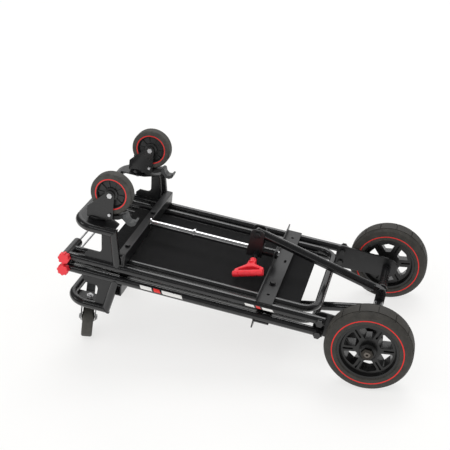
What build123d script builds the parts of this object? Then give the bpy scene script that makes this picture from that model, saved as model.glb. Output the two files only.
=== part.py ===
from build123d import *
import math
import os

# Folded six-wheel platform cart, millimetres, Z up, floor at Z = 0.
# Two flat tube frames lie face to face and fold about bolts in a wheel carrier.
# Cart axes: X along the rails towards the big wheels, Y across, Z off the middle plane.

os.makedirs("parts", exist_ok=True)

# Driving dimensions
wheel_r = 127.0
wheel_width = 73.0
wheel_y = 271.0
caster_r = 63.5
caster_width = 34.0
caster_trail = 39.0
park = 18.0
rail_d = 25.4
rail_wall = 2.0
rail_y = 234.5
rail_pitch = 39.6
frame_len = 779.4
pivot_x = wheel_r + 23.6
post_foot = 619.4
post_lean = 22.0
hoop_reach = 765.4
hoop_z = 131.0
hoop_bend = 58.0
swivel_x = 711.4
swivel_y = 186.0
axle_drop = 215.5
crossbar_x = 597.4
cross_plate_x = 189.4
cross_h = 40.0
plate_h = 21.5
tab_h = 50.0
rod_d = 20.0
rod_rise = 48.2
slider_x = 253.4
slider_len = 48.0
strut_d = 28.0
strut_rise = 107.2
clevis_z = 32.0
handle_d = 22.0
handle_y = 190.0
handle_end = 21.4
hub_d = 30.0
knob_d = 36.0
panel_t = 7.0
plate_t = 6.0
bolt_d = 10.0
axle_d = 20.0
axle_tube_d = 28.0

# Named clearances
run = 0.05
gap = 0.3
side_gap = 0.5

# Derived places in cart axes
rail_z = rail_pitch / 2
rail_r = rail_d / 2
rail_in = rail_y - rail_r
rail_out = rail_y + rail_r
rail_top = rail_z + rail_r
tube_in_r = rail_r - rail_wall
bolt_r = bolt_d / 2
fold_x = -pivot_x
hub_x = fold_x - frame_len
hoop_x = fold_x - hoop_reach
cast_x = fold_x - swivel_x
seat_z = hoop_z + rail_r - 0.5
axle_z = rail_z + axle_drop
rod_z = rail_z + rod_rise
rod_r = rod_d / 2
slide_x = fold_x - slider_x
eye_z = rail_z + strut_rise
shoulder = 6.0

# The folded cart leans on its big wheels and its lower casters, which are swivelled inwards
park_cos = math.cos(math.radians(park))
park_sin = math.sin(math.radians(park))
park_x = cast_x - caster_trail * park_sin
lean = 0.2
for _ in range(20):
    turned = math.sin(lean) * park_cos
    drop = (caster_r - shoulder) * math.sqrt(1 - turned**2) + (caster_width / 2 - shoulder) * turned
    lean = math.asin((axle_z * math.cos(lean) + drop + shoulder - wheel_r) / -park_x)
cos_l = math.cos(lean)
sin_l = math.sin(lean)
left_end = hoop_x * cos_l - hoop_z * sin_l - rail_r
x_shift = -(wheel_r + left_end) / 2

CART = Plane(origin=(x_shift, 0, wheel_r), x_dir=(cos_l, 0, -sin_l), z_dir=(sin_l, 0, cos_l))
MIDDLE = Plane.XZ


def level(z):
    """Plane parallel to the rails at height z: local x along, local y across."""
    return CART.offset(z)


def side(y):
    """Upright plane along the rails: local x along, local y up, normal towards -Y."""
    return Plane(origin=CART.from_local_coords((0, y, 0)), x_dir=CART.x_dir, z_dir=(0, -1, 0))


def across(x):
    """Upright plane across the cart: local x across, local y up, normal along the rails."""
    return Plane(origin=CART.from_local_coords((x, 0, 0)), x_dir=(0, 1, 0), z_dir=CART.x_dir)


def cart_point(x, y, z):
    return CART.from_local_coords(Vector(x, y, z))


def write(part, label):
    part.label = label
    export_step(part, f"parts/{label}.step")


def reflected(part, about):
    with BuildPart() as copy:
        mirror(part, about=about)
    return copy.part


def both_sides(part):
    """The piece and its copy on the far side of the cart."""
    with BuildPart() as pair:
        add(part)
        mirror(part, about=MIDDLE)
    return pair.part


def both_frames(part, name):
    """Writes the upper frame's piece and its image in the lower frame."""
    write(part, f"upper_{name}")
    write(reflected(part, CART), f"lower_{name}")


# ---------------------------------------------------------------- frame tubes
tail = 15.0
cap = 3.0
hub_r = hub_d / 2

with BuildPart() as rail_core:
    with BuildSketch(across(hub_x)):
        with Locations((-rail_y, rail_z)):
            Circle(rail_r)
    extrude(amount=frame_len + tail)

with BuildPart() as hub_core:
    with BuildSketch(side(-rail_out - side_gap)):
        with Locations((hub_x, rail_z)):
            Circle(hub_r)
    extrude(amount=-(rail_out - handle_y + 45))

with BuildPart() as rail:
    add(rail_core.part)
    fillet(rail.edges().filter_by(GeomType.CIRCLE).sort_by(Axis(CART.origin, CART.x_dir))[-1], 2.5)
    with BuildSketch(across(hub_x)):
        with Locations((-rail_y, rail_z)):
            Circle(tube_in_r)
    extrude(amount=frame_len + tail - cap, mode=Mode.SUBTRACT)
    with BuildSketch(side(-rail_y)):
        with Locations((fold_x, rail_z)):
            Circle(bolt_r + run)
    extrude(amount=rail_r + 1, both=True, mode=Mode.SUBTRACT)
    add(hub_core.part, mode=Mode.SUBTRACT)
both_frames(both_sides(rail.part), "rails")

# ---------------------------------------------------------------- folding handle
handle_r = handle_d / 2
bend = 46.0
end_x = fold_x - handle_end

with BuildPart() as handle:
    with BuildLine(level(rail_z)) as handle_path:
        FilletPolyline(
            (hub_x, -handle_y),
            (end_x, -handle_y),
            (end_x, handle_y),
            (hub_x, handle_y),
            radius=bend,
        )
    with BuildSketch(across(hub_x)):
        with Locations((-handle_y, rail_z)):
            Circle(handle_r)
            Circle(handle_r - rail_wall, mode=Mode.SUBTRACT)
    sweep()
    add(hub_core.part, mode=Mode.SUBTRACT)
    mirror(hub_core.part, about=MIDDLE, mode=Mode.SUBTRACT)
both_frames(handle.part, "handle")

# ---------------------------------------------------------------- hubs, spindle and knobs
spindle_d = 6.0
spindle_r = spindle_d / 2
hub_near = -rail_out - side_gap
hub_far = -(handle_y - 45)

hub_wall = 3.0
with BuildPart() as hub:
    add(hub_core.part)
    fillet(hub.edges().filter_by(GeomType.CIRCLE).sort_by(Axis.Y)[-1], 3.0)
    fillet(hub.edges().filter_by(GeomType.CIRCLE).sort_by(Axis.Y)[0], 1.0)
    with BuildSketch(side(hub_near + hub_wall)):
        with Locations((hub_x, rail_z)):
            Circle(hub_r - hub_wall)
    extrude(amount=hub_near - hub_far + 2 * hub_wall, mode=Mode.SUBTRACT)
    with BuildSketch(side(hub_near)):
        with Locations((hub_x, rail_z)):
            Circle(spindle_r + run)
    extrude(amount=-200, mode=Mode.SUBTRACT)
both_frames(both_sides(hub.part), "hubs")

knob_r = knob_d / 2
knob_t = 16.0
lobes = 8
with BuildPart() as knob:
    with BuildSketch(side(hub_near - gap)):
        with Locations((hub_x, rail_z)):
            Circle(knob_r)
            with PolarLocations(knob_r + 3.2, lobes, start_angle=360 / lobes / 2):
                Circle(5.6, mode=Mode.SUBTRACT)
    extrude(amount=knob_t)
    knob_faces = knob.faces().filter_by(Axis.Y).sort_by(Axis.Y)
    chamfer(knob_faces[0].edges(), 1.6)
    with BuildSketch(side(hub_near - gap)):
        with Locations((hub_x, rail_z)):
            Circle(spindle_r)
    extrude(amount=knob_t - 5, mode=Mode.SUBTRACT)
both_frames(both_sides(knob.part), "knobs")

spindle_end = -hub_near + gap + knob_t - 5
with BuildPart() as spindle:
    with BuildSketch(side(0)):
        with Locations((hub_x, rail_z)):
            Circle(spindle_r)
    extrude(amount=spindle_end, both=True)
both_frames(spindle.part, "spindle")

# ---------------------------------------------------------------- caster hoop
post_x = fold_x - post_foot
lean_x = post_x - post_lean
post_low = rail_z + 4
hoop_points = [
    (post_x, -rail_y, post_low),
    (lean_x, -rail_y, hoop_z),
    (hoop_x, -rail_y, hoop_z),
    (hoop_x, rail_y, hoop_z),
    (lean_x, rail_y, hoop_z),
    (post_x, rail_y, post_low),
]
post_dir = (cart_point(*hoop_points[1]) - cart_point(*hoop_points[0])).normalized()
foot = Plane(origin=cart_point(*hoop_points[0]), x_dir=(0, 1, 0), z_dir=post_dir)
bow_points = [
    (lean_x + rail_d, -rail_y, hoop_z),
    (hoop_x, -rail_y, hoop_z),
    (hoop_x, rail_y, hoop_z),
    (lean_x + rail_d, rail_y, hoop_z),
]
mitre = Plane(origin=cart_point(*hoop_points[1]), z_dir=-CART.x_dir + post_dir)


def bow(r):
    """The hoop's level bow, trimmed at its mitres."""
    with BuildPart() as half_done:
        with BuildLine():
            FilletPolyline(*[cart_point(*p) for p in bow_points], radius=hoop_bend)
        with BuildSketch(across(lean_x + rail_d)):
            with Locations((-rail_y, hoop_z)):
                Circle(r)
        sweep()
        split(bisect_by=mitre, keep=Keep.TOP)
    return half_done.part


def post(r):
    """The near post, trimmed at its mitre."""
    with BuildPart() as half_done:
        with BuildSketch(foot):
            Circle(r)
        extrude(amount=2 * hoop_z)
        split(bisect_by=mitre, keep=Keep.BOTTOM)
    return half_done.part


with BuildPart() as hoop_core:
    add(bow(rail_r))
    add(post(rail_r))
    mirror(post(rail_r), about=MIDDLE)

with BuildPart() as hoop:
    add(hoop_core.part)
    add(bow(tube_in_r), mode=Mode.SUBTRACT)
    add(post(tube_in_r), mode=Mode.SUBTRACT)
    mirror(post(tube_in_r), about=MIDDLE, mode=Mode.SUBTRACT)
    add(rail_core.part, mode=Mode.SUBTRACT)
    mirror(rail_core.part, about=MIDDLE, mode=Mode.SUBTRACT)
both_frames(hoop.part, "hoop")

# ---------------------------------------------------------------- bracket plates
gusset_t = 4.0
mount_t = 4.0
stem_d = 12.0
mount_inner = 30.0
mount_end = 42.0
mount_left = hoop_x - cast_x

with BuildPart() as mount_plate:
    with BuildSketch(level(seat_z)) as mount_plate_face:
        with BuildLine():
            Polyline(
                (cast_x + mount_left, -rail_y),
                (lean_x + 2, -rail_y),
                (lean_x + 2, -rail_y + mount_end),
                (cast_x + mount_inner, -swivel_y + mount_inner - 6),
                (cast_x, -swivel_y + mount_inner),
                (cast_x + mount_left, -swivel_y + mount_inner),
                close=True,
            )
        make_face()
        outer_corner = mount_plate_face.vertices().sort_by_distance((hoop_x, -rail_y, 0))[0]
        fillet(outer_corner, hoop_bend)
        with Locations((cast_x, -swivel_y)):
            Circle(stem_d / 2 + run, mode=Mode.SUBTRACT)
    extrude(amount=-mount_t)
    add(hoop_core.part, mode=Mode.SUBTRACT)

foot_left = -723.4
with BuildPart() as gusset:
    with BuildSketch(side(-rail_y)):
        with BuildLine():
            Polyline(
                (fold_x + foot_left, rail_z),
                (fold_x + foot_left, rail_top + 11),
                (fold_x + foot_left + 12, rail_top + 23),
                (post_x - 52, rail_top + 23),
                (lean_x - 36, hoop_z - 10),
                (lean_x - 30, hoop_z),
                (lean_x, hoop_z),
                (post_x, rail_z),
                close=True,
            )
        make_face()
    extrude(amount=gusset_t / 2, both=True)
    corner = gusset.edges().filter_by(Axis.Y).sort_by_distance(
        cart_point(post_x - 52, -rail_y, rail_top + 23)
    )[0]
    fillet(corner, 14)
    add(rail_core.part, mode=Mode.SUBTRACT)
    add(hoop_core.part, mode=Mode.SUBTRACT)

with BuildPart() as bracket_plates:
    add(mount_plate.part)
    add(gusset.part)
both_frames(both_sides(bracket_plates.part), "bracket_plates")

# ---------------------------------------------------------------- deck panel
panel_left = 84.0
panel_right = 76.0
panel_side = 3.0
panel_y = handle_y - handle_r - panel_side
panel_low = rail_z - rail_r + 1.0
with BuildPart() as panel:
    with BuildSketch(level(panel_low)) as panel_face:
        with Locations(((hub_x + panel_left + fold_x - panel_right) / 2, 0)):
            Rectangle(frame_len - panel_left - panel_right, 2 * panel_y)
        fillet(panel_face.vertices(), 6)
    extrude(amount=panel_t)
both_frames(panel.part, "deck_panel")

# ---------------------------------------------------------------- cross members
member_t = 4.0
member_w = 24.0
member_y = rail_out - 4.0
spacer_r = 8.0
spacer_y = [-120.0, 0.0, 120.0]
head_r = 8.5
head_t = 6.0
panel_top = panel_low + panel_t
bar_x = fold_x - crossbar_x
bar_mid = bar_x - member_w / 2

with BuildPart() as crossbar:
    with BuildSketch(across(bar_x)):
        with BuildLine():
            Polyline(
                (-member_y, rail_top),
                (-member_y + 6, rail_top + cross_h),
                (member_y - 6, rail_top + cross_h),
                (member_y, rail_top),
                close=True,
            )
        make_face()
    extrude(amount=-member_t)
    with BuildSketch(level(rail_top)):
        with Locations((bar_mid, 0)):
            Rectangle(member_w, 2 * member_y)
    extrude(amount=member_t)
    with BuildSketch(level(rail_top + cross_h)):
        with Locations((bar_mid, 0)):
            Rectangle(member_w, 2 * member_y - 12)
    extrude(amount=-member_t)
    fold_edge = crossbar.edges().filter_by(Axis.Y).sort_by_distance(
        cart_point(bar_x, 0, rail_top + cross_h)
    )[0]
    fillet(fold_edge, 3.0)
    with BuildSketch(level(rail_top)):
        with Locations(*[(bar_mid, y) for y in spacer_y]):
            Circle(spacer_r)
    extrude(amount=panel_top - rail_top)
    with BuildSketch(level(rail_top + cross_h)):
        with Locations(*[(bar_mid, y) for y in (-185.0, 58.0)]):
            RegularPolygon(head_r, 6)
    extrude(amount=head_t)
    add(hoop_core.part, mode=Mode.SUBTRACT)
both_frames(crossbar.part, "crossbar")

cross_x = fold_x - cross_plate_x
cross_w = 45.0
flange_t = 3.0
fin = 14.0
cross_mid = cross_x + cross_w / 2
bolt_y = [-128.0, 128.0]
hole_y = -193.0
tab_y = 24.0
slot_y = 26.0
with BuildPart() as cross_plate:
    with BuildSketch(level(rail_top)):
        with Locations((cross_mid, 0)):
            Rectangle(cross_w, 2 * member_y)
        with Locations((cross_mid, hole_y), (cross_mid, -hole_y)):
            Circle(5.0, mode=Mode.SUBTRACT)
        with Locations((cross_mid + 8, slot_y)):
            SlotOverall(18, 7, rotation=90, mode=Mode.SUBTRACT)
    extrude(amount=flange_t)
    with BuildSketch(across(cross_x)):
        with BuildLine():
            Polyline(
                (-member_y - 2, rail_top),
                (-member_y - fin, rail_top + plate_h - 5),
                (-member_y - fin + 8, rail_top + plate_h),
                (-2.5 * tab_y, rail_top + plate_h),
                (-tab_y, rail_top + tab_h),
                (tab_y, rail_top + tab_h),
                (2.5 * tab_y, rail_top + plate_h),
                (member_y + fin - 8, rail_top + plate_h),
                (member_y + fin, rail_top + plate_h - 5),
                (member_y + 2, rail_top),
                close=True,
            )
        make_face()
        with Locations((0, rod_z)):
            Circle(rod_r, mode=Mode.SUBTRACT)
    extrude(amount=-flange_t)
    with BuildSketch(level(rail_top)):
        with Locations((cross_mid, spacer_y[0]), (cross_mid, spacer_y[2])):
            Circle(spacer_r)
    extrude(amount=panel_top - rail_top)
    with BuildSketch(level(rail_top + flange_t)):
        with Locations(*[(cross_mid, y) for y in bolt_y]):
            Circle(head_r + 3)
    extrude(amount=1.5)
    with BuildSketch(level(rail_top + flange_t + 1.5)):
        with Locations(*[(cross_mid, y) for y in bolt_y]):
            RegularPolygon(head_r, 6)
    extrude(amount=head_t)
both_frames(cross_plate.part, "cross_plate")

# ---------------------------------------------------------------- guide rod
rod_end = cross_x + 10.0
rod_wall = 2.5
washer_r = 17.0
washer_t = 3.0
ring_r = 15.0
ring_t = 6.0
swing = 90.0
eye_dx = -slider_x
reach = math.hypot(pivot_x + slider_x, eye_z - clevis_z)
knee_r = math.hypot(pivot_x, clevis_z - rail_z)
knee_a = math.atan2(clevis_z - rail_z, pivot_x) + math.radians(swing)
knee_x = knee_r * math.cos(knee_a)
knee_z = knee_r * math.sin(knee_a)
slide_end = knee_x - math.sqrt(reach**2 - (knee_z - strut_rise) ** 2)
slide_travel = eye_dx - slide_end
stop_x = slide_x - slide_travel - slider_len / 2 - side_gap
pin_x = slide_x + 7.0

with BuildPart() as guide_rod:
    with BuildSketch(across(bar_x)):
        with Locations((0, rod_z)):
            Circle(rod_r)
    extrude(amount=rod_end - bar_x)
    with BuildSketch(across(bar_x)):
        with Locations((0, rod_z)):
            Circle(washer_r)
    extrude(amount=washer_t)
    with BuildSketch(across(stop_x)):
        with Locations((0, rod_z)):
            Circle(ring_r)
    extrude(amount=-ring_t)
    with BuildSketch(across(bar_x)):
        with Locations((0, rod_z)):
            Circle(rod_r - rod_wall)
    extrude(amount=rod_end - bar_x - 4, mode=Mode.SUBTRACT)
both_frames(guide_rod.part, "guide_rod")

sleeve_r = 13.0
with BuildPart() as sleeve:
    with BuildSketch(across(slide_x + slider_len / 2 + side_gap)):
        with Locations((0, rod_z)):
            Circle(sleeve_r)
            Circle(rod_r, mode=Mode.SUBTRACT)
    extrude(amount=cross_x - flange_t - slide_x - slider_len / 2 - side_gap)
    with BuildSketch(across(cross_x)):
        with Locations((0, rod_z)):
            RegularPolygon(15.0, 6)
            Circle(rod_r, mode=Mode.SUBTRACT)
    extrude(amount=7)
both_frames(sleeve.part, "rod_sleeve")

# ---------------------------------------------------------------- slider and its pivot bolt
cheek_in = strut_d / 2 + 1.5
cheek_t = 4.0
cheek_out = cheek_in + cheek_t
cheek_w = 44.0
block_low = rod_z - 16.0
block_top = rod_z + 16.0
pull_tilt = 8.0
pull_axis = Vector(0, -math.cos(math.radians(pull_tilt)), -math.sin(math.radians(pull_tilt)))
bar_turn = 20.0
boss_r = 8.0
boss_end = 44.0
pin_r = 4.0
pin_start = rod_r + gap + 0.2
pull_travel = 10.0
pivot_r = 6.0

pull_world = (
    CART.x_dir * pull_axis.X + Vector(0, 1, 0) * pull_axis.Y + CART.z_dir * pull_axis.Z
)
pin_origin = cart_point(pin_x, 0, rod_z)
pull_up = pull_world.cross(CART.x_dir)


def pull_level(r):
    """Plane square to the pull direction at distance r from the rod's axis."""
    return Plane(origin=pin_origin + pull_world * r, x_dir=CART.x_dir, z_dir=pull_world)


with BuildPart() as slider:
    with BuildSketch(side(-cheek_in)) as cheek_face:
        with BuildLine():
            Polyline(
                (slide_x - cheek_w / 2, block_low),
                (slide_x - cheek_w / 2, eye_z + 15),
                (slide_x + cheek_w / 2, eye_z + 15),
                (slide_x + cheek_w / 2, block_low),
                close=True,
            )
        make_face()
        fillet(cheek_face.vertices().sort_by(Axis.Y)[-2:], 14)
    extrude(amount=cheek_t)
    mirror(slider.part, about=MIDDLE)
    with BuildSketch(across(slide_x)):
        with Locations((0, rod_z)):
            Rectangle(2 * cheek_out, block_top - block_low)
    extrude(amount=slider_len / 2, both=True)
    with BuildSketch(pull_level(rod_r)):
        Circle(boss_r)
    extrude(amount=boss_end - rod_r)
    chamfer(slider.edges().filter_by(GeomType.CIRCLE).sort_by(Axis.Y)[0], 1.5)
    with BuildSketch(across(slide_x - slider_len)):
        with Locations((0, rod_z)):
            Circle(rod_r + run)
    extrude(amount=2 * slider_len, mode=Mode.SUBTRACT)
    with BuildSketch(pull_level(0)):
        Circle(pin_r + run)
    extrude(amount=2 * boss_end, mode=Mode.SUBTRACT)
    with BuildSketch(side(0)):
        with Locations((slide_x, eye_z)):
            Circle(pivot_r)
    extrude(amount=2 * cheek_out, both=True, mode=Mode.SUBTRACT)
both_frames(slider.part, "slider")

with BuildPart() as slider_bolt:
    with BuildSketch(side(0)):
        with Locations((slide_x, eye_z)):
            Circle(pivot_r)
    extrude(amount=cheek_out, both=True)
    with BuildSketch(side(-cheek_out)):
        with Locations((slide_x, eye_z)):
            RegularPolygon(11, 6)
    extrude(amount=7)
    chamfer(slider_bolt.faces().sort_by(Axis.Y)[0].edges(), 1.2)
    with BuildSketch(side(cheek_out)):
        with Locations((slide_x, eye_z)):
            RegularPolygon(11, 6)
    extrude(amount=-9)
both_frames(slider_bolt.part, "slider_bolt")

# ---------------------------------------------------------------- strut
strut_r = strut_d / 2
strut_wall = 2.5
tongue_t = 20.0
tongue_w = 23.0
tube_stop = 24.0
strut_angle = math.atan2(clevis_z - eye_z, pivot_x + slider_x)
strut_dir = CART.x_dir * math.cos(strut_angle) + CART.z_dir * math.sin(strut_angle)
eye_at = cart_point(slide_x, 0, eye_z)


def strut_side():
    """Upright plane along the strut, origin at its upper eye."""
    return Plane(origin=eye_at, x_dir=strut_dir, z_dir=(0, -1, 0))


def strut_cut(s):
    return Plane(origin=eye_at + strut_dir * s, x_dir=(0, 1, 0), z_dir=strut_dir)


with BuildPart() as strut:
    with BuildSketch(strut_cut(-strut_r)):
        Circle(strut_r)
    extrude(amount=reach - tube_stop + strut_r)
    with BuildSketch(strut_side()):
        with Locations((reach / 2, 0)):
            SlotOverall(reach + 2 * strut_r, 2 * strut_r)
    extrude(amount=strut_r + 1, both=True, mode=Mode.INTERSECT)
    with BuildSketch(strut_side()):
        with Locations((reach - tube_stop / 2 - 3, 0)):
            Rectangle(tube_stop + 6, tongue_w)
        with Locations((reach, 0)):
            Circle(tongue_w / 2)
    extrude(amount=tongue_t / 2, both=True)
    with BuildSketch(strut_cut(strut_r + 4)):
        Circle(strut_r - strut_wall)
    extrude(amount=reach - tube_stop - strut_r - 14, mode=Mode.SUBTRACT)
    with BuildSketch(strut_side()):
        with Locations((0, 0)):
            Circle(pivot_r + run)
        with Locations((reach, 0)):
            Circle(bolt_r + 1)
    extrude(amount=strut_r + 1, both=True, mode=Mode.SUBTRACT)
both_frames(strut.part, "strut")

# ---------------------------------------------------------------- pull handle and its pin
grip_start = 66.0
grip_end = 137.0
grip_w = 92.0
grip_t = 14.0
neck_w = 12.0
bar_r = 10.0
grip_lobes = 5
turn = math.radians(bar_turn)
bar_dir = CART.x_dir * math.cos(turn) + pull_up * math.sin(turn)


def grip_plane():
    """Plane of the pull ring: local x along its bar, local y along the pull."""
    normal = bar_dir.cross(pull_world)
    return Plane(origin=pin_origin, x_dir=bar_dir, z_dir=normal)


with BuildPart() as grip:
    with BuildSketch(grip_plane()) as grip_face:
        with BuildLine():
            Polyline(
                (-neck_w, grip_start),
                (neck_w, grip_start),
                (neck_w + 1, grip_start + 21),
                (grip_w / 2, grip_end - 27),
                (grip_w / 2, grip_end - 3),
                (-grip_w / 2, grip_end - 3),
                (-grip_w / 2, grip_end - 27),
                (-neck_w - 1, grip_start + 21),
                close=True,
            )
        make_face()
        fillet(grip_face.vertices(), 5)
        with BuildLine():
            Polyline(
                (-neck_w + 3, grip_end - 36),
                (neck_w - 3, grip_end - 36),
                (grip_w / 2 - 13, grip_end - 25),
                (grip_w / 2 - 13, grip_end - 19),
                (-grip_w / 2 + 13, grip_end - 19),
                (-grip_w / 2 + 13, grip_end - 25),
                close=True,
            )
        make_face(mode=Mode.SUBTRACT)
    extrude(amount=grip_t / 2, both=True)
    fillet(grip.edges().filter_by(grip_plane()), 3)
    grip_bar = Plane(
        origin=pin_origin + pull_world * (grip_end + 1 - bar_r), x_dir=pull_world, z_dir=bar_dir
    )
    with BuildSketch(grip_bar):
        Circle(bar_r - 1.2)
    extrude(amount=grip_w / 2 + 1.5, both=True)
    for i in range(grip_lobes):
        step = (i - (grip_lobes - 1) / 2) * grip_w / grip_lobes
        with BuildSketch(grip_bar.offset(step)):
            Circle(bar_r)
        extrude(amount=0.38 * grip_w / grip_lobes, both=True)
    with BuildSketch(pull_level(grip_start - 6)):
        Circle(neck_w - 1)
    extrude(amount=20)
    with BuildSketch(pull_level(grip_start - 9)):
        Circle(pin_r)
    extrude(amount=20, mode=Mode.SUBTRACT)
both_frames(grip.part, "pull_grip")

with BuildPart() as pull_pin:
    with BuildSketch(pull_level(pin_start)):
        Circle(pin_r)
    extrude(amount=grip_start + 11 - pin_start)
both_frames(pull_pin.part, "pull_pin")

# ---------------------------------------------------------------- wheel carrier
plate_out = rail_in - side_gap
plate_in = plate_out - plate_t
plate_end_r = 19.0
plate_hub_r = 34.0
axle_r = axle_d / 2
tube_r = axle_tube_d / 2
fold_places = [(fold_x, rail_z), (fold_x, -rail_z)]

with BuildPart() as side_plate:
    with BuildSketch(side(-plate_in)):
        with Locations(*fold_places):
            Circle(plate_end_r)
        with Locations((0, 0)):
            Circle(plate_hub_r)
        make_hull()
        with Locations(*fold_places):
            Circle(bolt_r, mode=Mode.SUBTRACT)
        with Locations((0, 0)):
            Circle(axle_r, mode=Mode.SUBTRACT)
    extrude(amount=plate_t)
    chamfer(side_plate.faces().sort_by(Axis.Y)[-1].outer_wire().edges(), 1.0)
write(both_sides(side_plate.part), "side_plates")

with BuildPart() as fold_bolt:
    with BuildSketch(side(-plate_in)):
        with Locations(*fold_places):
            Circle(bolt_r)
    extrude(amount=rail_out + side_gap - plate_in)
    with BuildSketch(side(-rail_out - side_gap)):
        with Locations(*fold_places):
            Circle(12.5)
    extrude(amount=2.0)
    with BuildSketch(side(-rail_out - side_gap - 2.0)):
        with Locations(*fold_places):
            RegularPolygon(11.5, 6)
    extrude(amount=7.5)
    with BuildSketch(side(-plate_in)):
        with Locations(*fold_places):
            RegularPolygon(9, 6)
    extrude(amount=-7.5)

with BuildPart() as axle_tube:
    with BuildSketch(side(0)):
        with Locations((0, 0)):
            Circle(tube_r)
            Circle(axle_r, mode=Mode.SUBTRACT)
    extrude(amount=plate_in, both=True)
write(axle_tube.part, "axle_tube")

clevis_t = 5.0
clevis_in = tongue_t / 2 + 1.5
clevis_out = clevis_in + clevis_t
clevis_places = [(0, clevis_z), (0, -clevis_z)]
with BuildPart() as clevis:
    with BuildSketch(side(-clevis_in)):
        SlotCenterToCenter(2 * clevis_z, 30, rotation=90)
        Circle(tube_r, mode=Mode.SUBTRACT)
        with Locations(*clevis_places):
            Circle(bolt_r, mode=Mode.SUBTRACT)
    extrude(amount=clevis_t)
write(both_sides(clevis.part), "clevis_plates")

with BuildPart() as clevis_bolt:
    with BuildSketch(side(-clevis_in)):
        with Locations(*clevis_places):
            Circle(bolt_r)
    extrude(amount=clevis_t)
    with BuildSketch(side(-clevis_out)):
        with Locations(*clevis_places):
            RegularPolygon(9, 6)
    extrude(amount=6.0)
with BuildPart() as carrier_bolts:
    add(fold_bolt.part)
    add(clevis_bolt.part)
    mirror(fold_bolt.part, about=MIDDLE)
    mirror(clevis_bolt.part, about=MIDDLE)
write(carrier_bolts.part, "carrier_bolts")

# ---------------------------------------------------------------- axle and big wheels
hub_inner = wheel_y - 35.0
hub_outer = wheel_y + 38.0
nut_t = 8.0
dimple_r = 4.0
axle_end = hub_outer + gap + nut_t + 1.5

with BuildPart() as axle_half:
    with BuildSketch(side(0)):
        Circle(axle_r)
    extrude(amount=axle_end)
    chamfer(axle_half.faces().sort_by(Axis.Y)[0].edges(), 2.0)
    with BuildSketch(side(-axle_end)):
        Circle(dimple_r)
    extrude(amount=-5, mode=Mode.SUBTRACT)
    with BuildSketch(side(-plate_out)):
        Circle(15)
    extrude(amount=hub_inner - gap - plate_out)
with BuildPart() as axle:
    add(axle_half.part)
    mirror(axle_half.part, about=MIDDLE)
write(axle.part, "axle_bar")

with BuildPart() as nut:
    with BuildSketch(side(-hub_outer - gap)):
        RegularPolygon(18.5, 6)
        Circle(axle_r, mode=Mode.SUBTRACT)
    extrude(amount=nut_t)
    with BuildSketch(side(-hub_outer - gap - nut_t + 1)) as nut_cone:
        Circle(40)
        Circle(16.2, mode=Mode.SUBTRACT)
    extrude(amount=2, mode=Mode.SUBTRACT)
write(both_sides(nut.part), "wheel_nuts")

# Near wheel: local x is the radius, local y runs outwards from the wheel's middle
wheel_cut = Plane(origin=cart_point(0, -wheel_y, 0), x_dir=(1, 0, 0), z_dir=(0, 0, -1))
wheel_axis = Axis(cart_point(0, -wheel_y, 0), (0, -1, 0))
half_w = wheel_width / 2
rim_r = 87.0
barrel_r = 81.0
rim_w = half_w - 5.0
face_out = 20.0
face_in = -16.0
spokes = 6
spoke_w = 17.0
window_r0 = 36.0
window_r1 = 70.0
groove_w = 3.0
tread_blocks = 15


def wheel_face(w):
    """Plane of the near wheel at w outwards from its middle, normal outwards."""
    return Plane(origin=cart_point(0, -wheel_y - w, 0), x_dir=(1, 0, 0), z_dir=(0, -1, 0))


def window_corner(r, sign):
    """Corner of a window between two spokes at radius r, about the window's own axis."""
    half = math.pi / spokes - math.asin(spoke_w / 2 / r)
    return (r * math.cos(half), sign * r * math.sin(half))


with BuildPart() as rim:
    with BuildSketch(wheel_cut):
        with BuildLine():
            Polyline(
                (axle_r + run, hub_inner - wheel_y),
                (23, hub_inner - wheel_y),
                (24, face_in),
                (barrel_r - 5, face_in),
                (barrel_r, -rim_w),
                (rim_r, -rim_w),
                (rim_r, rim_w),
                (barrel_r, rim_w),
                (barrel_r - 5, face_out),
                (26, face_out),
                (25, hub_outer - wheel_y - 4),
                (21, hub_outer - wheel_y),
                (axle_r + run, hub_outer - wheel_y),
                close=True,
            )
        make_face()
    revolve(axis=wheel_axis)
    with BuildSketch(wheel_face(face_out)) as windows:
        with PolarLocations(0, spokes, start_angle=180 / spokes):
            Polygon(
                window_corner(window_r0, -1),
                window_corner(window_r1, -1),
                (window_r1 + 2, 0),
                window_corner(window_r1, 1),
                window_corner(window_r0, 1),
                align=None,
            )
        fillet(windows.vertices(), 4.5)
    extrude(amount=-(face_out - face_in), taper=7, mode=Mode.SUBTRACT)
    for slot_face in (wheel_face(face_out - 7), wheel_face(face_in)):
        with BuildSketch(slot_face):
            with PolarLocations((window_r0 + barrel_r) / 2 - 1, spokes):
                SlotOverall(30, 5.5)
        extrude(amount=7, mode=Mode.SUBTRACT)
write(rim.part, "near_rim")
write(reflected(rim.part, MIDDLE), "far_rim")

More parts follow.
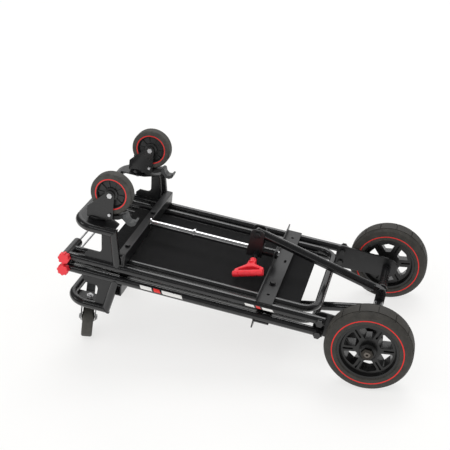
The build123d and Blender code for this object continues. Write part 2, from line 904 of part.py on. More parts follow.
tread_r = wheel_r - 2.6
rib_w = 20.0
with BuildPart() as tyre:
    with BuildSketch(wheel_cut) as tyre_face:
        with BuildLine():
            Polyline(
                (rim_r, -rim_w),
                (rim_r + 3, -half_w + 0.8),
                (wheel_r - 17, -half_w),
                (wheel_r - 7, -half_w + 4),
                (wheel_r - 1.2, -rib_w - groove_w),
                (tread_r, -rib_w - groove_w),
                (tread_r, -rib_w),
                (wheel_r - 0.6, -rib_w),
                (wheel_r, -9),
                (wheel_r, 9),
                (wheel_r - 0.6, rib_w),
                (tread_r, rib_w),
                (tread_r, rib_w + groove_w),
                (wheel_r - 1.2, rib_w + groove_w),
                (wheel_r - 7, half_w - 4),
                (wheel_r - 17, half_w),
                (rim_r + 3, half_w - 0.8),
                (rim_r, rim_w),
                close=True,
            )
        make_face()
    revolve(axis=wheel_axis)
    with BuildSketch(wheel_face(-half_w)):
        with PolarLocations(wheel_r, tread_blocks, start_angle=6):
            Rectangle(8, groove_w)
    extrude(amount=wheel_width, mode=Mode.SUBTRACT)
write(tyre.part, "near_tyre")
write(reflected(tyre.part, MIDDLE), "far_tyre")

# ---------------------------------------------------------------- casters
crown_r = 29.0
crown_t = 4.0
race_h = 9.0
leg_t = 3.0
leg_in = caster_width / 2 + 3.5
leg_out = leg_in + leg_t
core_r = 48.5
core_hub = caster_width / 2 + 2.5
wheel_h = axle_z - seat_z
crown_z = gap + race_h
boss_h = wheel_h - caster_r - 13.0
pedal_x = caster_trail + 9.0
pedal_z = wheel_h - caster_r - 9.6
rivet_x = caster_trail + 5.0
rivet_z = wheel_h - caster_r + 2.0
pedal_r = 6.5
pedal_pin = 3.5
pedal_w = 14.0
axle_pin = 5.0
stem_nut = 11.0


pedal_shape = [
    (-8, -6),
    (-8, 5),
    (10, 6),
    (30, 12),
    (36, 18),
    (43, 17),
    (48, 3),
    (56, -4),
    (66, -3),
    (71, 5),
    (77, 4),
    (73, -9),
    (62, -15),
    (51, -13),
    (41, -4),
    (32, 3),
    (22, -3),
    (10, -6),
]


def caster(name, seat):
    """One swivel caster: seat is the mount's face, local x trails, local z points off it."""

    def flat(z):
        return seat.offset(z)

    def upright(y):
        at = seat.from_local_coords(Vector(0, y, 0))
        return Plane(origin=at, x_dir=seat.x_dir, z_dir=seat.x_dir.cross(seat.z_dir))

    hub_at = seat.from_local_coords(Vector(caster_trail, 0, wheel_h))
    axis_dir = seat.y_dir
    cut = Plane(origin=hub_at, x_dir=seat.z_dir, z_dir=seat.z_dir.cross(axis_dir))
    spin = Axis(hub_at, axis_dir)

    with BuildPart() as fork:
        with BuildSketch(flat(gap)):
            Circle(26)
        extrude(amount=race_h, taper=-5)
        with BuildSketch(flat(crown_z)):
            Circle(crown_r)
            with Locations((4, 0)):
                Rectangle(2 * crown_r - 12, 2 * leg_out)
        extrude(amount=crown_t)
        for place in (upright(leg_in), upright(-leg_out)):
            with BuildSketch(place):
                with Locations((caster_trail, wheel_h)):
                    Circle(13)
                with Locations((rivet_x, rivet_z), (pedal_x - 2, pedal_z)):
                    Circle(8)
                with Locations((-crown_r + 8, wheel_h - caster_r + 13)):
                    Circle(5)
                with Locations((-crown_r + 6, crown_z + 3), (crown_r - 6, crown_z + 3)):
                    Circle(2.4)
                make_hull()
            extrude(amount=-leg_t)
        with BuildSketch(upright(0)):
            with Locations((caster_trail, wheel_h)):
                Circle(axle_pin)
            with Locations((pedal_x, pedal_z)):
                Circle(pedal_pin)
        extrude(amount=leg_out, both=True)
        for place, way in ((upright(leg_out), -1), (upright(-leg_out), 1)):
            with BuildSketch(place):
                with Locations((caster_trail, wheel_h)):
                    Circle(9.5)
            extrude(amount=way * 1.5)
            with BuildSketch(place):
                with Locations((caster_trail, wheel_h)):
                    RegularPolygon(8.2, 6)
                with Locations((rivet_x, rivet_z)):
                    Circle(4.5)
            extrude(amount=way * 5.5)
        with BuildSketch(flat(gap)):
            Circle(stem_d / 2)
        extrude(amount=-(mount_t + 2 * gap))
        with BuildSketch(flat(-mount_t - gap)):
            RegularPolygon(stem_nut, 6)
        extrude(amount=-9)
        with BuildSketch(flat(-mount_t - gap - 9)):
            Circle(stem_d / 2)
        extrude(amount=-4)
    write(fork.part, f"{name}_fork")

    with BuildPart() as core:
        with BuildSketch(cut):
            with BuildLine():
                Polyline(
                    (axle_pin + run, -core_hub),
                    (14, -core_hub),
                    (15, -core_hub + 3),
                    (20, -core_hub + 5),
                    (21, -9),
                    (39, -8),
                    (42, -caster_width / 2 + 3),
                    (43.5, -caster_width / 2 + 1),
                    (core_r, -caster_width / 2 + 0.6),
                    (core_r, caster_width / 2 - 0.6),
                    (43.5, caster_width / 2 - 1),
                    (42, caster_width / 2 - 3),
                    (39, 8),
                    (21, 9),
                    (20, core_hub - 5),
                    (15, core_hub - 3),
                    (14, core_hub),
                    (axle_pin + run, core_hub),
                    close=True,
                )
            make_face()
        revolve(axis=spin)
        rib_face = Plane(origin=hub_at, x_dir=seat.x_dir, z_dir=axis_dir)
        with BuildSketch(rib_face):
            with PolarLocations(30.5, 10):
                Rectangle(20, 3)
        extrude(amount=caster_width / 2 - 5.5, both=True)
    write(core.part, f"{name}_core")

    with BuildPart() as tread:
        with BuildSketch(cut) as tread_face:
            with BuildLine():
                Polyline(
                    (core_r, -caster_width / 2 + 0.6),
                    (core_r + 1.5, -caster_width / 2),
                    (caster_r, -caster_width / 2),
                    (caster_r, caster_width / 2),
                    (core_r + 1.5, caster_width / 2),
                    (core_r, caster_width / 2 - 0.6),
                    close=True,
                )
            make_face()
        revolve(axis=spin)
        fillet(tread.edges().filter_by(GeomType.CIRCLE).sort_by(SortBy.RADIUS)[-2:], shoulder)
    write(tread.part, f"{name}_tyre")

    with BuildPart() as pedal:
        with BuildSketch(upright(0)) as pedal_face:
            with BuildLine():
                Polyline(
                    *[(pedal_x + px, pedal_z + pz) for px, pz in pedal_shape],
                    close=True,
                )
            make_face()
            fillet(pedal_face.vertices(), 1.6)
            with Locations((pedal_x, pedal_z)):
                Circle(pedal_pin + run, mode=Mode.SUBTRACT)
        extrude(amount=pedal_w, both=True)
    write(pedal.part, f"{name}_pedal")


def upper_seat(y):
    return Plane(origin=cart_point(cast_x, y, seat_z), x_dir=CART.x_dir, z_dir=CART.z_dir)


def lower_seat(y, way):
    """Lower casters are swivelled, wheels towards the middle."""
    trail_dir = Vector(0, 1, 0) * (way * park_cos) - CART.x_dir * park_sin
    return Plane(origin=cart_point(cast_x, y, -seat_z), x_dir=trail_dir, z_dir=-CART.z_dir)


caster("upper_near", upper_seat(-swivel_y))
caster("upper_far", upper_seat(swivel_y))
caster("lower_near", lower_seat(-swivel_y, 1))
caster("lower_far", lower_seat(swivel_y, -1))
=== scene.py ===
"""Folded platform cart: finishes, weld beads, studio floor, lights and camera. Metres, Z up."""

import math

import bmesh
import bpy
from mathutils import Matrix, Vector


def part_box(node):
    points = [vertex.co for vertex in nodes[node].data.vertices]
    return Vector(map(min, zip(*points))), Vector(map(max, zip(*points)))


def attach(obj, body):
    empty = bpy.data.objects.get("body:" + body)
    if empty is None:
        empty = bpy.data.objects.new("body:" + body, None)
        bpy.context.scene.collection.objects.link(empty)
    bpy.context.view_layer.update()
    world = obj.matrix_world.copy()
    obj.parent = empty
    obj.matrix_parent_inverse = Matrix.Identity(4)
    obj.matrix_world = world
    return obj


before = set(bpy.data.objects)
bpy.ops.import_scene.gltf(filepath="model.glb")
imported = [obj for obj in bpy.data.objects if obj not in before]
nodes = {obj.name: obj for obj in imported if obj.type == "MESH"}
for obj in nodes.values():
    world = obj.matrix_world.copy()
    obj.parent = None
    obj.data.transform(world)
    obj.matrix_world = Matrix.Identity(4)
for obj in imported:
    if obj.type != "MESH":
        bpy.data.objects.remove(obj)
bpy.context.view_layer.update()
scene = bpy.context.scene

NEAR_FAR = (("near", -1), ("far", 1))
FRAMES = (("upper", 1), ("lower", -1))


# ------------------------------------------------------------ cart axes, read from the frame
def centre(node):
    """Middle of a node's box at rest."""
    low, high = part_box(node)
    return (Vector(low) + Vector(high)) / 2


AXLE = centre("axle_bar")
CLAMPS = (centre("upper_spindle") + centre("lower_spindle")) / 2
ALONG = (AXLE - CLAMPS).normalized()
ACROSS = Vector((0, 1, 0))
OFF = ALONG.cross(ACROSS)


def cart(x, y, z):
    """Cart axes, millimetres from the middle of the axle, to a place in metres."""
    return AXLE + (ALONG * x + ACROSS * y + OFF * z) / 1000


def axes(x_dir, y_dir, z_dir):
    """The 3x3 whose columns are three directions."""
    return Matrix((x_dir, y_dir, z_dir)).transposed().to_3x3()


CART_AXES = axes(ALONG, ACROSS, OFF)


# ------------------------------------------------------------ camera
CAMERA_AT = (0.6579, -2.6464, 1.6143)
CAMERA_RIGHT = (0.96819, 0.24616, -0.04478)
CAMERA_UP = (-0.06403, 0.41677, 0.90675)
LENS_MM = 78.33


def make_camera():
    """A long lens from above the near side, turned very slightly about its line of sight."""
    right = Vector(CAMERA_RIGHT).normalized()
    up = Vector(CAMERA_UP)
    back = right.cross(up).normalized()
    up = back.cross(right)
    data = bpy.data.cameras.new("studio_camera")
    data.sensor_width = 36
    data.lens = LENS_MM
    camera = bpy.data.objects.new("studio_camera", data)
    camera.matrix_world = Matrix.Translation(CAMERA_AT) @ axes(right, up, back).to_4x4()
    scene.collection.objects.link(camera)
    scene.camera = camera


# ------------------------------------------------------------ finishes
class Finish:
    """One material, built from its shader outwards."""

    def __init__(self, name):
        self.material = bpy.data.materials.new(name)
        self.material.use_nodes = True
        self.tree = self.material.node_tree
        self.tree.nodes.clear()
        self.shader = self.add("ShaderNodeBsdfPrincipled")
        out = self.add("ShaderNodeOutputMaterial")
        self.tree.links.new(self.shader.outputs["BSDF"], out.inputs["Surface"])
        self.place = self.add("ShaderNodeTexCoord").outputs["Object"]

    def add(self, kind, **settings):
        """A new shader node with its settings."""
        node = self.tree.nodes.new(kind)
        for key, value in settings.items():
            setattr(node, key, value)
        return node

    def feed(self, socket, value):
        """Links a socket, or gives it a plain value."""
        if isinstance(value, bpy.types.NodeSocket):
            self.tree.links.new(value, socket)
        else:
            socket.default_value = value

    def set(self, **values):
        """Inputs of the surface shader by name."""
        for key, value in values.items():
            name = key.replace("_", " ").title().replace("Ior", "IOR")
            self.feed(self.shader.inputs[name], value)
        return self

    def maths(self, how, a, b=0.0, clamp=False):
        node = self.add("ShaderNodeMath", operation=how, use_clamp=clamp)
        self.feed(node.inputs[0], a)
        self.feed(node.inputs[1], b)
        return node.outputs[0]

    def inside(self, value, low, high):
        """1 where the value is between low and high."""
        away = self.maths("ABSOLUTE", self.maths("SUBTRACT", value, (low + high) / 2))
        return self.maths("LESS_THAN", away, (high - low) / 2)

    def both(self, *masks):
        """1 where every mask is 1."""
        out = masks[0]
        for mask in masks[1:]:
            out = self.maths("MULTIPLY", out, mask)
        return out

    def noise(self, scale, detail=3.0, rough=0.55, warp=0.0):
        node = self.add("ShaderNodeTexNoise")
        self.feed(node.inputs["Vector"], self.place)
        node.inputs["Scale"].default_value = scale
        node.inputs["Detail"].default_value = detail
        node.inputs["Roughness"].default_value = rough
        node.inputs["Distortion"].default_value = warp
        return node.outputs["Fac"]

    def cells(self, scale):
        node = self.add("ShaderNodeTexVoronoi")
        self.feed(node.inputs["Vector"], self.place)
        node.inputs["Scale"].default_value = scale
        return node.outputs["Distance"]

    def span(self, value, low, high, to_low=0.0, to_high=1.0):
        """Stretches low..high to to_low..to_high and stops at both ends."""
        node = self.add("ShaderNodeMapRange", clamp=True)
        for socket, number in zip(node.inputs, (value, low, high, to_low, to_high)):
            self.feed(socket, number)
        return node.outputs[0]

    def blend(self, how_much, a, b):
        """From colour a to colour b."""
        node = self.add("ShaderNodeMix", data_type="RGBA")
        sockets = (node.inputs["Factor"], node.inputs[6], node.inputs[7])
        for socket, value in zip(sockets, (how_much, a, b)):
            if isinstance(value, tuple) and len(value) == 3:
                value = (*value, 1)
            self.feed(socket, value)
        return node.outputs[2]

    def bumps(self, height, strength, distance=0.001):
        node = self.add("ShaderNodeBump")
        node.inputs["Strength"].default_value = strength
        node.inputs["Distance"].default_value = distance
        self.feed(node.inputs["Height"], height)
        self.tree.links.new(node.outputs["Normal"], self.shader.inputs["Normal"])
        return self

    def local(self, origin, turned):
        """X, Y and Z in another set of axes, from its origin and the 3x3 of its directions."""
        node = self.add("ShaderNodeMapping", vector_type="TEXTURE")
        self.feed(node.inputs["Vector"], self.place)
        node.inputs["Location"].default_value = origin
        node.inputs["Rotation"].default_value = turned.to_euler()
        parts = self.add("ShaderNodeSeparateXYZ")
        self.tree.links.new(node.outputs[0], parts.inputs[0])
        return parts.outputs


def shade(tone, k):
    """A tone made k times as bright."""
    return tuple(v * k for v in tone)


DUST = (0.06, 0.058, 0.055)


def powder(name, rough, coat=0.0, tone=(0.0045, 0.0045, 0.005), over=None):
    """Black powder coat: orange peel, faint cloudiness and a little settled dust."""
    f = Finish(name)
    cloud = f.noise(14, 4)
    dust = f.maths("MULTIPLY", f.span(f.noise(46, 5, 0.65), 0.56, 0.82), 0.22)
    tint = f.blend(dust, f.blend(cloud, shade(tone, 0.8), shade(tone, 1.35)), DUST)
    rub = f.span(cloud, 0.3, 0.7, rough - 0.05, rough + 0.07)
    if over:
        tint, rub = over(f, tint, rub)
    f.set(base_color=tint, roughness=rub, coat_weight=coat, coat_roughness=0.12)
    return f.bumps(f.noise(420, 2), 0.018, 0.0004)


def metal(name, tone, rough, scratch=160, relief=0.05):
    """Bare or plated metal: fine grain in its gloss, and faint stains."""
    f = Finish(name)
    grain = f.noise(scratch, 4, 0.6)
    stain = f.noise(30, 3)
    f.set(base_color=f.blend(stain, shade(tone, 0.82), tone), metallic=1.0)
    f.set(roughness=f.span(grain, 0.3, 0.75, rough * 0.8, rough * 1.5))
    return f.bumps(grain, relief, 0.0003)


def felt():
    """Needle felt: short matted fibres, a few lighter ones, and soft patches."""
    f = Finish("deck_felt")
    matted = f.noise(420, 6, 0.75, warp=1.2)
    fibres = f.cells(900)
    light = f.span(matted, 0.56, 0.78)
    patch = f.noise(9, 3)
    base = f.blend(patch, (0.004, 0.004, 0.0045), (0.007, 0.007, 0.0075))
    f.set(base_color=f.blend(light, base, (0.026, 0.025, 0.024)), roughness=0.95)
    f.set(specular_ior_level=0.12, sheen_weight=0.05, sheen_roughness=0.5)
    return f.bumps(f.maths("ADD", matted, fibres), 0.7, 0.0012)


def red_moulding():
    """Glossy red moulded plastic with a fine texture."""
    f = Finish("red_moulding")
    cloud = f.noise(60, 3)
    f.set(base_color=f.blend(cloud, (0.72, 0.014, 0.028), (0.86, 0.03, 0.045)))
    f.set(roughness=f.span(cloud, 0.3, 0.7, 0.3, 0.42), coat_weight=0.25, coat_roughness=0.2)
    return f.bumps(f.noise(1500, 2), 0.06, 0.0003)


def dark_moulding(name, tone, rough, over=None):
    """Black or grey moulded plastic with mould texture and dusty scuffs."""
    f = Finish(name)
    cloud = f.noise(24, 4)
    scuff = f.maths("MULTIPLY", f.span(f.noise(130, 6, 0.7, warp=0.6), 0.6, 0.78), 0.5)
    tint = f.blend(scuff, f.blend(cloud, shade(tone, 0.8), shade(tone, 1.25)), shade(tone, 2.6))
    if over:
        tint = over(f, tint)
    f.set(base_color=tint, roughness=f.span(cloud, 0.3, 0.7, rough - 0.06, rough + 0.08))
    return f.bumps(f.noise(1300, 3), 0.1, 0.0004)


def red_band(middle, turned, inner, outer, inset):
    """A red ring on both faces of a wheel: middle, axes, radii, and depth where it starts."""
    def over(f, tint):
        x, y, z = f.local(middle, turned)
        squares = f.maths("ADD", f.maths("MULTIPLY", x, x), f.maths("MULTIPLY", y, y))
        reach = f.maths("SQRT", squares)
        outward = f.maths("GREATER_THAN", f.maths("ABSOLUTE", z), inset)
        red = f.blend(f.noise(90, 3), (0.62, 0.012, 0.012), (0.8, 0.03, 0.022))
        return f.blend(f.both(f.inside(reach, inner, outer), outward), tint, red)
    return over


def rubber(name, tone, over=None):
    """Dusty rubber, paler where dust has settled in its texture."""
    f = Finish(name)
    dust = f.span(f.noise(38, 5, 0.7), 0.38, 0.72)
    speck = f.span(f.noise(700, 3, 0.7), 0.62, 0.75)
    settled, fine = f.maths("MULTIPLY", dust, 0.55), f.maths("MULTIPLY", speck, 0.25)
    dirty = f.maths("ADD", settled, fine, clamp=True)
    tint = f.blend(dirty, shade(tone, 0.7), shade(tone, 1.8))
    if over:
        tint = over(f, tint)
    f.set(base_color=tint, roughness=f.span(dust, 0.0, 1.0, 0.6, 0.8), specular_ior_level=0.35)
    return f.bumps(f.noise(1100, 4, 0.7), 0.25, 0.0006)


def paint(node_name, finish):
    """Gives a CAD node its finish."""
    data = nodes[node_name].data
    data.materials.clear()
    data.materials.append(finish.material)


GLOSS = powder("gloss_powder_coat", 0.25, coat=0.45)
SATIN = powder("satin_powder_coat", 0.36, coat=0.15, tone=(0.006, 0.006, 0.0065))
CHROME = metal("chrome", (0.82, 0.82, 0.83), 0.1, scratch=90, relief=0.015)
ZINC = metal("zinc_plate", (0.66, 0.66, 0.67), 0.26)
AXLE_STEEL = metal("axle_steel", (0.2, 0.18, 0.16), 0.36)
NUT_STEEL = metal("nut_steel", (0.055, 0.05, 0.045), 0.34)
FELT = felt()
RED = red_moulding()
RIM = dark_moulding("rim_moulding", (0.007, 0.007, 0.007), 0.3)


RAIL_Y, RAIL_Z, RAIL_R = 234.5, 19.8, 12.7
WHITE_INK, RED_INK = (0.75, 0.74, 0.72), (0.7, 0.02, 0.015)
MARK_SLANT, MARK_GAP, MARK_HALF_HEIGHT = 0.55, 0.006, 0.005
MARK_DEPTH = 0.2435
# start along the rail, lengths of the three bars and rise above the rail's middle, in mm
MARKS = {"upper": (-372, (28, 12, 32), -4), "lower": (-690, (36, 20, 62), 3)}


def rail_marks(frame_name, lift):
    """Slanted white, red and white bars on the outer side of a frame's rails, slightly rubbed."""
    start, lengths, rise = MARKS[frame_name]

    def over(f, tint, rub):
        x, y, z = f.local(AXLE, CART_AXES)
        height = f.maths("SUBTRACT", z, (RAIL_Z * lift + rise) / 1000)
        slant = f.maths("ADD", x, f.maths("MULTIPLY", height, MARK_SLANT))
        outer_side = f.maths("GREATER_THAN", f.maths("ABSOLUTE", y), MARK_DEPTH)
        strip = f.both(outer_side, f.inside(height, -MARK_HALF_HEIGHT, MARK_HALF_HEIGHT))
        at = start / 1000
        for length, ink in zip(lengths, (WHITE_INK, RED_INK, WHITE_INK)):
            bar = f.inside(slant, at, at + length / 1000)
            worn = f.maths("GREATER_THAN", f.noise(260, 5, 0.7), 0.36)
            tint = f.blend(f.both(strip, bar, worn), tint, ink)
            at += length / 1000 + MARK_GAP
        return tint, rub
    return powder(f"{frame_name}_marked_powder_coat", 0.25, coat=0.45, over=over)


# places in a caster's own axes, metres: x trails, z points from its mount to its wheel
NUT_SIDE_Z = -0.0044
BOLT_HEAD_Y = 0.0252
CROWN_Z = 0.02
SCOOP_START, SCOOP_FULL = 0.081, 0.084


def fork_finish(name, seat, turned):
    """Gloss black fork whose stem, nut, axle bolt heads and rivets are zinc plated."""
    def over(f, tint, rub):
        _, y, z = f.local(seat, turned)
        stem = f.maths("LESS_THAN", z, NUT_SIDE_Z)
        outside_legs = f.maths("GREATER_THAN", f.maths("ABSOLUTE", y), BOLT_HEAD_Y)
        heads = f.both(outside_legs, f.maths("GREATER_THAN", z, CROWN_Z))
        plated = f.maths("MAXIMUM", stem, heads)
        f.set(metallic=f.maths("MULTIPLY", plated, 0.6))
        zinc = f.blend(f.noise(160, 4, 0.6), (0.5, 0.5, 0.51), (0.72, 0.72, 0.73))
        tint = f.blend(plated, tint, zinc)
        return tint, f.maths("ADD", rub, f.maths("MULTIPLY", plated, 0.06))
    return powder(f"{name}_fork_finish", 0.26, coat=0.3, over=over)


def pedal_finish(name, seat, turned):
    """Black pedal arm with a grey toe scoop."""
    def over(f, tint):
        along_arm = f.local(seat, turned)[0]
        arm_black = (0.012, 0.012, 0.0125)
        return f.blend(f.span(along_arm, SCOOP_START, SCOOP_FULL), arm_black, tint)
    return dark_moulding(f"{name}_pedal_finish", (0.055, 0.057, 0.058), 0.42, over)


# finish of each of a frame's pieces but its rails
FRAME_FINISHES = (
    (GLOSS, ("handle", "hubs", "hoop", "strut", "rod_sleeve", "slider_bolt")),
    (SATIN, ("bracket_plates", "crossbar", "cross_plate", "slider")),
    (FELT, ("deck_panel",)),
    (CHROME, ("guide_rod",)),
    (ZINC, ("spindle", "pull_pin")),
    (RED, ("knobs", "pull_grip")),
)
CARRIER_FINISHES = (
    (SATIN, ("side_plates", "clevis_plates")),
    (GLOSS, ("axle_tube", "carrier_bolts")),
    (AXLE_STEEL, ("axle_bar",)),
    (NUT_STEEL, ("wheel_nuts",)),
)


def dress_frames():
    for frame_name, lift in FRAMES:
        paint(f"{frame_name}_rails", rail_marks(frame_name, lift))
        for finish, parts in FRAME_FINISHES:
            for part in parts:
                paint(f"{frame_name}_{part}", finish)
    for finish, parts in CARRIER_FINISHES:
        for part in parts:
            paint(part, finish)


TYRE_BAND = (0.1, 0.103, 0.03)
CORE_BAND = (0.0452, 0.049, 0.012)
TYRE_RUBBER = (0.042, 0.039, 0.034)
CASTER_RUBBER = (0.062, 0.059, 0.053)
CORE_BLACK = (0.014, 0.014, 0.0145)


def dress_wheels():
    turned = axes(Vector((1, 0, 0)), Vector((0, 0, 1)), Vector((0, -1, 0)))
    for side, _ in NEAR_FAR:
        paint(f"{side}_rim", RIM)
        band = red_band(centre(f"{side}_tyre"), turned, *TYRE_BAND)
        paint(f"{side}_tyre", rubber(f"{side}_tyre_rubber", TYRE_RUBBER, band))


SWIVEL = (-862.0, 186.0, 143.2)
PARK = math.radians(18)


def trail_direction(lift, way):
    """Upper casters trail along the cart; lower ones are parked across it, turned inwards."""
    if lift > 0:
        return ALONG
    return ACROSS * -way * math.cos(PARK) - ALONG * math.sin(PARK)


def dress_casters():
    for frame_name, lift in FRAMES:
        for side, way in NEAR_FAR:
            name = f"{frame_name}_{side}"
            z_dir = OFF * lift
            x_dir = trail_direction(lift, way)
            y_dir = z_dir.cross(x_dir)
            seat = cart(SWIVEL[0], SWIVEL[1] * way, SWIVEL[2] * lift)
            fork_axes = axes(x_dir, y_dir, z_dir)
            band = red_band(centre(f"{name}_core"), axes(z_dir, x_dir, y_dir), *CORE_BAND)
            core = dark_moulding(f"{name}_core_moulding", CORE_BLACK, 0.36, band)
            paint(f"{name}_fork", fork_finish(name, seat, fork_axes))
            paint(f"{name}_tyre", rubber(f"{name}_tread", CASTER_RUBBER))
            paint(f"{name}_core", core)
            paint(f"{name}_pedal", pedal_finish(name, seat, fork_axes))


# ------------------------------------------------------------ weld beads
# cart axes, mm: the hoop's height, a post's foot and head, and the ends of gusset and cross plate
HOOP_Z, POST_X, LEAN_X = 131.0, -770.0, -792.0
POST_FOOT_Z = RAIL_Z + 4
GUSSET_START, CROSS_X, CROSS_WIDTH = -872.0, -340.0, 45.0
BEAD_STEP = 1.9
BEAD_RADIUS, BEAD_UNEVENNESS, BEAD_SEED = 0.0017, 0.16, 7


def bead_tree(finish):
    """Geometry nodes: one rounded bead on every point, each a little larger or smaller."""
    tree = bpy.data.node_groups.new("weld_beads", "GeometryNodeTree")
    kinds = {"Geometry": "Geometry", "Bead Radius": "Float", "Unevenness": "Float", "Seed": "Int"}
    sockets = {}
    for name, kind in kinds.items():
        socket = tree.interface.new_socket(name, in_out="INPUT", socket_type=f"NodeSocket{kind}")
        sockets[name] = socket.identifier
    tree.interface.new_socket("Geometry", in_out="OUTPUT", socket_type="NodeSocketGeometry")
    new, link = tree.nodes.new, tree.links.new
    start, end = new("NodeGroupInput"), new("NodeGroupOutput")
    bead = new("GeometryNodeMeshUVSphere")
    bead.inputs["Segments"].default_value = 8
    bead.inputs["Rings"].default_value = 5
    link(start.outputs["Bead Radius"], bead.inputs["Radius"])
    least, most = new("ShaderNodeMath"), new("ShaderNodeMath")
    least.operation, most.operation = "SUBTRACT", "ADD"
    vary = new("FunctionNodeRandomValue")
    for node, socket in ((least, vary.inputs[2]), (most, vary.inputs[3])):
        node.inputs[0].default_value = 1.0
        link(start.outputs["Unevenness"], node.inputs[1])
        link(node.outputs[0], socket)
    link(start.outputs["Seed"], vary.inputs["Seed"])
    spread = new("GeometryNodeInstanceOnPoints")
    link(start.outputs["Geometry"], spread.inputs["Points"])
    link(bead.outputs["Mesh"], spread.inputs["Instance"])
    link(vary.outputs[1], spread.inputs["Scale"])
    solid, smooth = new("GeometryNodeRealizeInstances"), new("GeometryNodeSetShadeSmooth")
    coat = new("GeometryNodeSetMaterial")
    coat.inputs["Material"].default_value = finish.material
    link(spread.outputs["Instances"], solid.inputs[0])
    link(solid.outputs[0], smooth.inputs[0])
    link(smooth.outputs[0], coat.inputs[0])
    link(coat.outputs[0], end.inputs[0])
    return tree, sockets


def round_angles(length):
    """Angles once round a bead of this length, one a step."""
    count = int(length / BEAD_STEP)
    return [math.tau * k / count for k in range(count)]


def post_foot(way):
    """Bead round the foot of a post, where it meets the round top of its rail."""
    line = []
    for a in round_angles(math.tau * RAIL_R):
        dy = RAIL_R * math.sin(a)
        z = RAIL_Z + math.sqrt(max(RAIL_R**2 - dy**2, 4.0))
        lean = (LEAN_X - POST_X) * (z - POST_FOOT_Z) / (HOOP_Z - POST_FOOT_Z)
        line.append((POST_X + lean + RAIL_R * 1.02 * math.cos(a), way * RAIL_Y + dy, z))
    return line


def post_head(way):
    """Bead round the mitre between a post and the hoop."""
    post = Vector((LEAN_X - POST_X, HOOP_Z - POST_FOOT_Z)).normalized()
    slope = post.y / (1 - post.x)
    line = []
    for a in round_angles(math.tau * RAIL_R * 1.15):
        dy, dz = RAIL_R * math.cos(a), RAIL_R * math.sin(a)
        line.append((LEAN_X + dz * slope, way * RAIL_Y + dy, HOOP_Z + dz))
    return line


def straight(a, b):
    """Bead from a to b."""
    a, b = Vector(a), Vector(b)
    count = max(2, int((b - a).length / BEAD_STEP))
    return [tuple(a.lerp(b, k / count)) for k in range(count + 1)]


def weld_lines(way):
    """Every bead on one side of the upper frame, cart axes, mm."""
    top = RAIL_Z + RAIL_R
    lines = post_foot(way) + post_head(way)
    for off in (-2.6, 2.6):
        y = way * RAIL_Y + off
        lines += straight((GUSSET_START, y, top - 0.2), (POST_X - 14, y, top - 0.2))
    edge_y, front_x = way * (RAIL_Y + 8.9), CROSS_X - 3.2
    plate_end = CROSS_X + CROSS_WIDTH
    lines += straight((CROSS_X + 2, edge_y, top - 1.5), (plate_end - 2, edge_y, top - 1.5))
    inner_y, outer_y = way * (RAIL_Y - 7), way * (RAIL_Y + 5)
    return lines + straight((front_x, inner_y, top + 0.1), (front_x, outer_y, top - 0.8))


def make_welds():
    """One mesh of weld beads for each frame."""
    tree, sockets = bead_tree(GLOSS)
    for number, (frame_name, lift) in enumerate(FRAMES):
        points = [cart(x, y, z * lift) for way in (-1, 1) for x, y, z in weld_lines(way)]
        mesh = bpy.data.meshes.new(f"{frame_name}_welds")
        mesh.from_pydata(points, [], [])
        piece = bpy.data.objects.new(f"{frame_name}_welds", mesh)
        scene.collection.objects.link(piece)
        beads = piece.modifiers.new("weld_beads", "NODES")
        beads.node_group = tree
        beads[sockets["Bead Radius"]] = BEAD_RADIUS
        beads[sockets["Unevenness"]] = BEAD_UNEVENNESS
        beads[sockets["Seed"]] = BEAD_SEED + number
        bpy.context.view_layer.update()
        done = piece.evaluated_get(bpy.context.evaluated_depsgraph_get())
        solid = bpy.data.meshes.new_from_object(done)
        piece.modifiers.clear()
        piece.data = solid
        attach(piece, f"{frame_name}_frame")


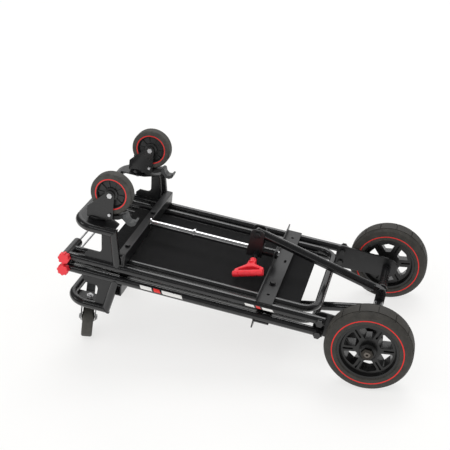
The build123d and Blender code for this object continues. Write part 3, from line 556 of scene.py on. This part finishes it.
# ------------------------------------------------------------ studio
# name, where it shines from, how wide it is in degrees, power, and whether gloss shows it
LAMPS = (
    ("tent", (0.0, 0.1, 1.0), 150, 1.3, False),
    ("front_fill", (0.25, -1.0, 0.5), 90, 1.2, False),
    ("left_fill", (-1.0, -0.3, 0.55), 90, 0.6, False),
    ("back_wall", (0.0, 1.0, 0.55), 64, 0.62, True),
    ("top_strip", (0.05, 0.5, 1.0), 34, 0.95, True),
    ("front_strip", (-0.25, -0.8, 0.75), 10, 0.1, True),
    ("left_strip", (-0.9, -0.25, 0.7), 16, 0.16, True),
    ("right_strip", (0.8, 0.6, 0.6), 16, 0.14, True),
)


FLOOR_HALF = 120
FLOOR_GLOW = 0.7
SKY = 0.16


def make_floor():
    """A wide pale sheet with a soft glow of its own, so that shadows on it stay light."""
    mesh = bpy.data.meshes.new("floor")
    shell = bmesh.new()
    bmesh.ops.create_grid(shell, x_segments=1, y_segments=1, size=FLOOR_HALF)
    shell.to_mesh(mesh)
    shell.free()
    floor = bpy.data.objects.new("floor", mesh)
    scene.collection.objects.link(floor)
    f = Finish("pale_floor")
    f.set(base_color=f.blend(f.noise(3, 4), (0.225, 0.225, 0.223), (0.25, 0.25, 0.247)))
    f.set(roughness=0.7, specular_ior_level=0.2)
    f.set(emission_color=(1.0, 0.995, 0.985, 1), emission_strength=FLOOR_GLOW)
    mesh.materials.append(f.material)


def make_lights():
    world = bpy.data.worlds.new("studio")
    world.use_nodes = True
    scene.world = world
    sky = world.node_tree.nodes["Background"].inputs
    sky["Color"].default_value = (1, 1, 1, 1)
    sky["Strength"].default_value = SKY
    for name, way, spread, power, in_gloss in LAMPS:
        lamp = bpy.data.lights.new(name, "SUN")
        lamp.angle = math.radians(spread)
        lamp.energy = power
        lantern = bpy.data.objects.new(name, lamp)
        lantern.matrix_world = Vector(way).to_track_quat("Z", "Y").to_matrix().to_4x4()
        lantern.visible_glossy = in_gloss
        scene.collection.objects.link(lantern)
    scene.view_settings.view_transform = "Standard"


make_camera()
dress_frames()
dress_wheels()
dress_casters()
make_welds()
make_floor()
make_lights()
